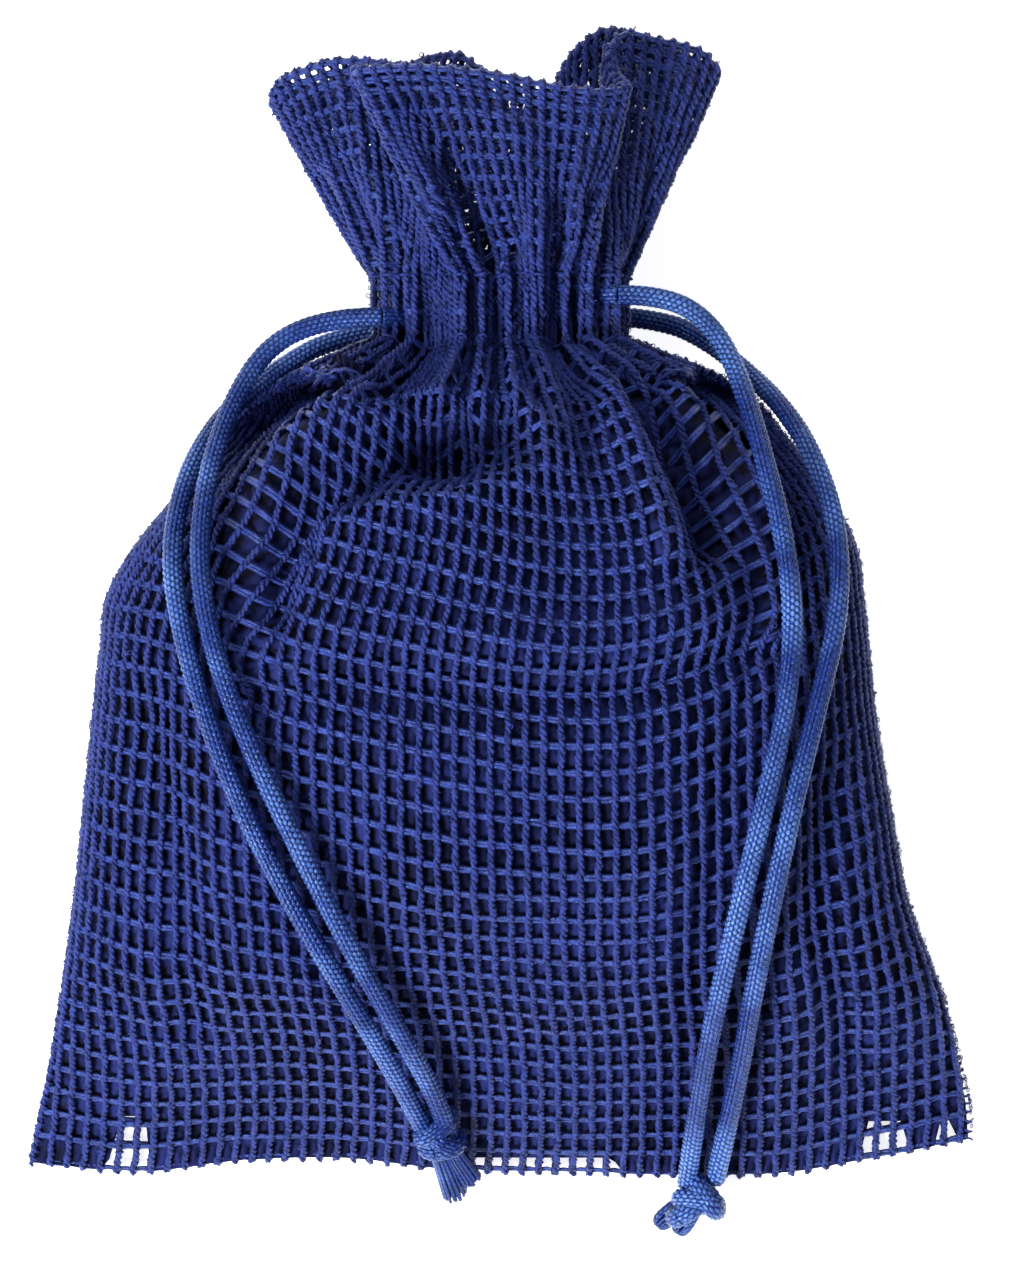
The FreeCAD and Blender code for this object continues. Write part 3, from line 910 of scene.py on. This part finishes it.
# ---------------------------------------------------------------- the bag
paths = {name: route_line(name, points) for name, points in ROUTES.items()}
smooth_grid = settle_under_cords(evened(add_folds(cloth_grid()), EVEN_SHARE), paths.values())
pleated, pleat_depth = add_pleats(smooth_grid)
pleated = evened(pleated, EVEN_SHARE_PLEATED)
grid = with_fold(turned_in(pleated))
HALF = WALES * GRID // 2
plies = wale_plies(grid, 11)
strands = weft_strands(grid, 21)
for centre, _, _ in strands:
    centre[0, :, 1] += 0.5


def add_piece(name, mesh, material, body):
    obj = make_object(name, mesh[0], mesh[1], material)
    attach(obj, body)
    return obj


def net_zone(name, front, first_row, last_row, top_weft=False):
    """One zone of the net, with its upright and its cross yarns."""
    half = (WALES + 1) // 2
    columns = slice(0, half) if front else slice(half, WALES)
    low, high = FOLD + first_row * GRID, FOLD + last_row * GRID
    start = 0 if first_row == 0 else low
    rows = np.arange(low + (GRID if first_row == 0 else 0), high + (1 if top_weft else 0), GRID)
    if first_row == 0 and front:
        rows = np.concatenate([[0], rows])
    if last_row == ROWS:
        rows = np.append(rows, high - 1)
    if first_row == ROWS:
        rows = np.append(rows, low + 1)
    ends = (0, HALF) if front else (HALF, 2 * HALF)
    wefts = weft_piece(strands, rows, *ends)
    vertices, faces = joined([wale_piece(plies, columns, start, high), wefts])
    obj = make_object(name, vertices, faces, YARN, CROSS_YARN, second=len(wefts[1]))
    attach(obj, "bag")
    return obj


def make_net():
    third = BODY_ROWS // 3
    made = {}
    for side in ("front", "back"):
        front = side == "front"
        for k, zone in enumerate(("lower", "middle", "upper")):
            name = f"net_{side}_{zone}_yarns"
            made[name] = net_zone(name, front, k * third, (k + 1) * third)
        name = f"frill_{side}_yarns"
        made[name] = net_zone(name, front, BODY_ROWS, ROWS)
        name = f"hem_{side}_yarns"
        made[name] = net_zone(name, front, ROWS, ROWS + HEM_ROWS, True)
    return made


def make_lining():
    count, across = smooth_grid.shape[:2]
    partner = (across - np.arange(across)) % across
    thickness = np.abs(smooth_grid[..., 2] - smooth_grid[:, partner, 2])
    offset = np.minimum(1.2 + 2.2 * pleat_depth, 0.12 + 0.36 * thickness)
    inner = smooth_grid - spread_normals(smooth_grid, 12) * offset[..., None]
    fold = (inner[:1] + inner[:1, partner]) / 2 - np.array((0, 0.7, 0))
    inner = np.concatenate([fold, inner])
    low = np.interp(smooth_grid[4, :, 0], LINING_EDGE_X, LINING_EDGE_Y)
    gathered = smooth_step(np.arange(count + 1)[:, None, None], (BODY_ROWS - 9) * GRID, (BODY_ROWS - 4) * GRID)
    for _ in range(8):
        inner = inner + ((np.roll(inner, 1, 1) + np.roll(inner, -1, 1)) / 2 - inner) / 2 * gathered
    top = (BODY_ROWS + 2) * GRID + 1
    count += 1
    columns, levels = [], []
    for j in range(across):
        start = np.interp(low[j], inner[:top, j, 1], np.arange(top))
        wanted = np.linspace(start, top, LINING_ROWS)
        levels.append(wanted - 1)
        columns.append(np.stack([np.interp(wanted, np.arange(count), inner[:, j, k]) for k in range(3)], 1))
    rows = np.array(columns).transpose(1, 0, 2)
    count = rows.shape[0]
    i, j = np.meshgrid(np.arange(count - 1), np.arange(across), indexing="ij")
    k = (j + 1) % across
    faces = np.stack([i * across + j, i * across + k, (i + 1) * across + k, (i + 1) * across + j], -1).reshape(-1, 4)
    obj = add_piece("lining_cloth", (rows.reshape(-1, 3), faces), LINING, "bag")
    columns = np.stack([j, j + 1, j + 1, j], -1) / GRID + 0.5
    levels = np.array(levels).T
    upward = np.stack([levels[i, j], levels[i, k], levels[i + 1, k], levels[i + 1, j]], -1) / GRID + 0.4
    weave = obj.data.uv_layers.new(name="weave")
    weave.data.foreach_set("uv", np.stack([columns, upward], -1).astype(np.float32).ravel())
    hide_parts("lining")
    return obj


def make_fuzz():
    """Loose loops on the upright yarns, thicker on the front and the frill."""
    local = np.random.default_rng(31)
    centre, ups, _ = plies[0]
    count, steps = centre.shape[:2]
    front = (WALES + 1) // 2
    column = np.concatenate([local.integers(0, front, LOOPS_FRONT), local.integers(front, count, LOOPS_BACK)])
    step = local.integers(4, (ROWS + 2) * GRID * WALE_STEPS, len(column))
    places = centre[column, step]
    travel = (np.abs(places[:, 0] + 12) < 11) & (np.abs(places[:, 1] + 85) < 9)  # where the left knot slides
    column, step, places = column[~travel], step[~travel], places[~travel]
    outward = ups[column, step]
    along = unit(centre[column, np.minimum(step + 1, steps - 1)] - centre[column, step - 1])
    mesh = loops(places + outward * 0.3, outward, along, 32, 0.31, 0.09)
    return add_piece("net_loose_loops", mesh, YARN, "bag")


def make_seam(name, column):
    """A side seam: a thread wound over the two edges, with little loops standing out of it."""
    line = finer(grid[: FOLD + BODY_ROWS * GRID + 1, column], 10, 0, False)
    line = even(line, int(np.linalg.norm(np.diff(line, axis=0), axis=1).sum() / SEAM_STEP))
    along = unit(np.gradient(line, axis=0))
    outward = unit(np.cross(along, (0, 0, 1.0)) * (-1 if column == 0 else 1))
    lift = np.cross(outward, along)
    s = np.arange(len(line)) * SEAM_STEP
    angle = math.tau * s / SEAM_TURN + 0.8 * np.sin(s * 0.9)
    centre = line + (outward * np.cos(angle)[:, None] + lift * np.sin(angle)[:, None]) * SEAM_RADIUS
    parts = [capped(*tubes(centre[None], lift[None], 0.2, 4), 1, len(line), 4)]
    local = np.random.default_rng(41 + column)
    picked = local.integers(2, len(line) - 2, LOOPS_SEAM)
    parts.append(loops(line[picked] + outward[picked] * 0.45, outward[picked], along[picked], 43, 0.30, 0.085))
    return add_piece(name, joined(parts), YARN, "bag")


def make_stitching(name, row):
    """A running stitch that draws the two layers together, over two upright yarns and under one."""
    ring = finer(grid[FOLD + int(row * GRID)], 4, 0, True)
    n = unit(finer(spread_normals(grid, 3)[FOLD + int(row * GRID)], 4, 0, True))
    place = np.arange(len(ring)) / (4 * GRID)
    lift = 0.25 + 0.75 * np.sin(math.tau * place / 3)
    mesh = tubes((ring + n * lift[:, None])[None], n[None], 0.24, 4, True)
    return add_piece(name, mesh, THREAD, "bag")


net = make_net()
lining = make_lining()
make_fuzz()
make_seam("seam_left_thread", 0)
make_seam("seam_right_thread", HALF)
make_stitching("stitching_lower_thread", BODY_ROWS)
make_stitching("stitching_upper_thread", BODY_ROWS + CHANNEL_ROWS)
cords = make_cords(paths)
make_loop("left", -1, LEFT_Y)
make_loop("right", 1, RIGHT_Y)
on_left = make_knot("left", LEFT_WRAPS, (
    ("tail_left_long", (-10.2, -87.2, 13.2), (-7.1, -96.0, 5.0), 3.7, 71, 0.07),
    ("tail_left_short", (-8.4, -87.0, 13.4), (-4.4, -93.4, 7.2), 3.1, 72, 0.06),
))
on_right = make_knot("right", RIGHT_WRAPS, (
    ("tail_right_long", (29.6, -96.8, 3.6), (25.4, -101.0, 2.2), 3.3, 73, 0.02),
    ("tail_right_short", (32.0, -97.0, 3.6), (28.6, -102.2, 2.2), 3.2, 74, 0.02),
))
bag_nodes = frame["record"]["behaviour"]["bodies"]["bag"]
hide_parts(*[n for n in bag_nodes if n != "lining"])

# ---------------------------------------------------------------- floor, light and camera
def make_stage():
    material, _, _, shader = new_material("floor_paper")
    shader.inputs["Base Color"].default_value = (0.93, 0.93, 0.93, 1)
    shader.inputs["Roughness"].default_value = 0.9
    shader.inputs["Emission Color"].default_value = (1, 1, 1, 1)
    shader.inputs["Emission Strength"].default_value = 0.78
    bpy.ops.mesh.primitive_plane_add(size=6, location=(0, 0, -0.0004))
    floor = bpy.context.object
    floor.name = "floor"
    floor.data.materials.append(material)
    world = bpy.data.worlds.new("studio")
    bpy.context.scene.world = world
    world.use_nodes = True
    world.node_tree.nodes["Background"].inputs["Color"].default_value = (1, 1, 1, 1)
    world.node_tree.nodes["Background"].inputs["Strength"].default_value = 0.30


def add_light(name, place, target, size, power):
    data = bpy.data.lights.new(name, "AREA")
    data.size = size
    data.energy = power
    light = bpy.data.objects.new(name, data)
    light.location = place
    light.rotation_euler = (Vector(target) - Vector(place)).to_track_quat("-Z", "Y").to_euler()
    bpy.context.scene.collection.objects.link(light)


def make_camera():
    data = bpy.data.cameras.new("camera")
    data.sensor_fit = "VERTICAL"
    data.sensor_height = SENSOR
    data.lens = SENSOR * (CAMERA_HEIGHT - CAMERA_FOCUS) / (FRAME_ROWS * FRAME_PITCH * MM)
    camera = bpy.data.objects.new("camera", data)
    camera.location = (*CAMERA_MIDDLE, CAMERA_HEIGHT)
    bpy.context.scene.collection.objects.link(camera)
    bpy.context.scene.camera = camera


make_stage()
add_light("key", (-0.52, -0.62, 0.78), (0, 0, 0), 0.40, 25)
add_light("back", (-0.45, 0.75, 0.80), (0, 0, 0), 0.5, 7)
add_light("fill", (0.8, 0.1, 0.8), (0, 0, 0), 0.9, 1.5)
make_camera()
bpy.context.scene.view_settings.view_transform = "Standard"
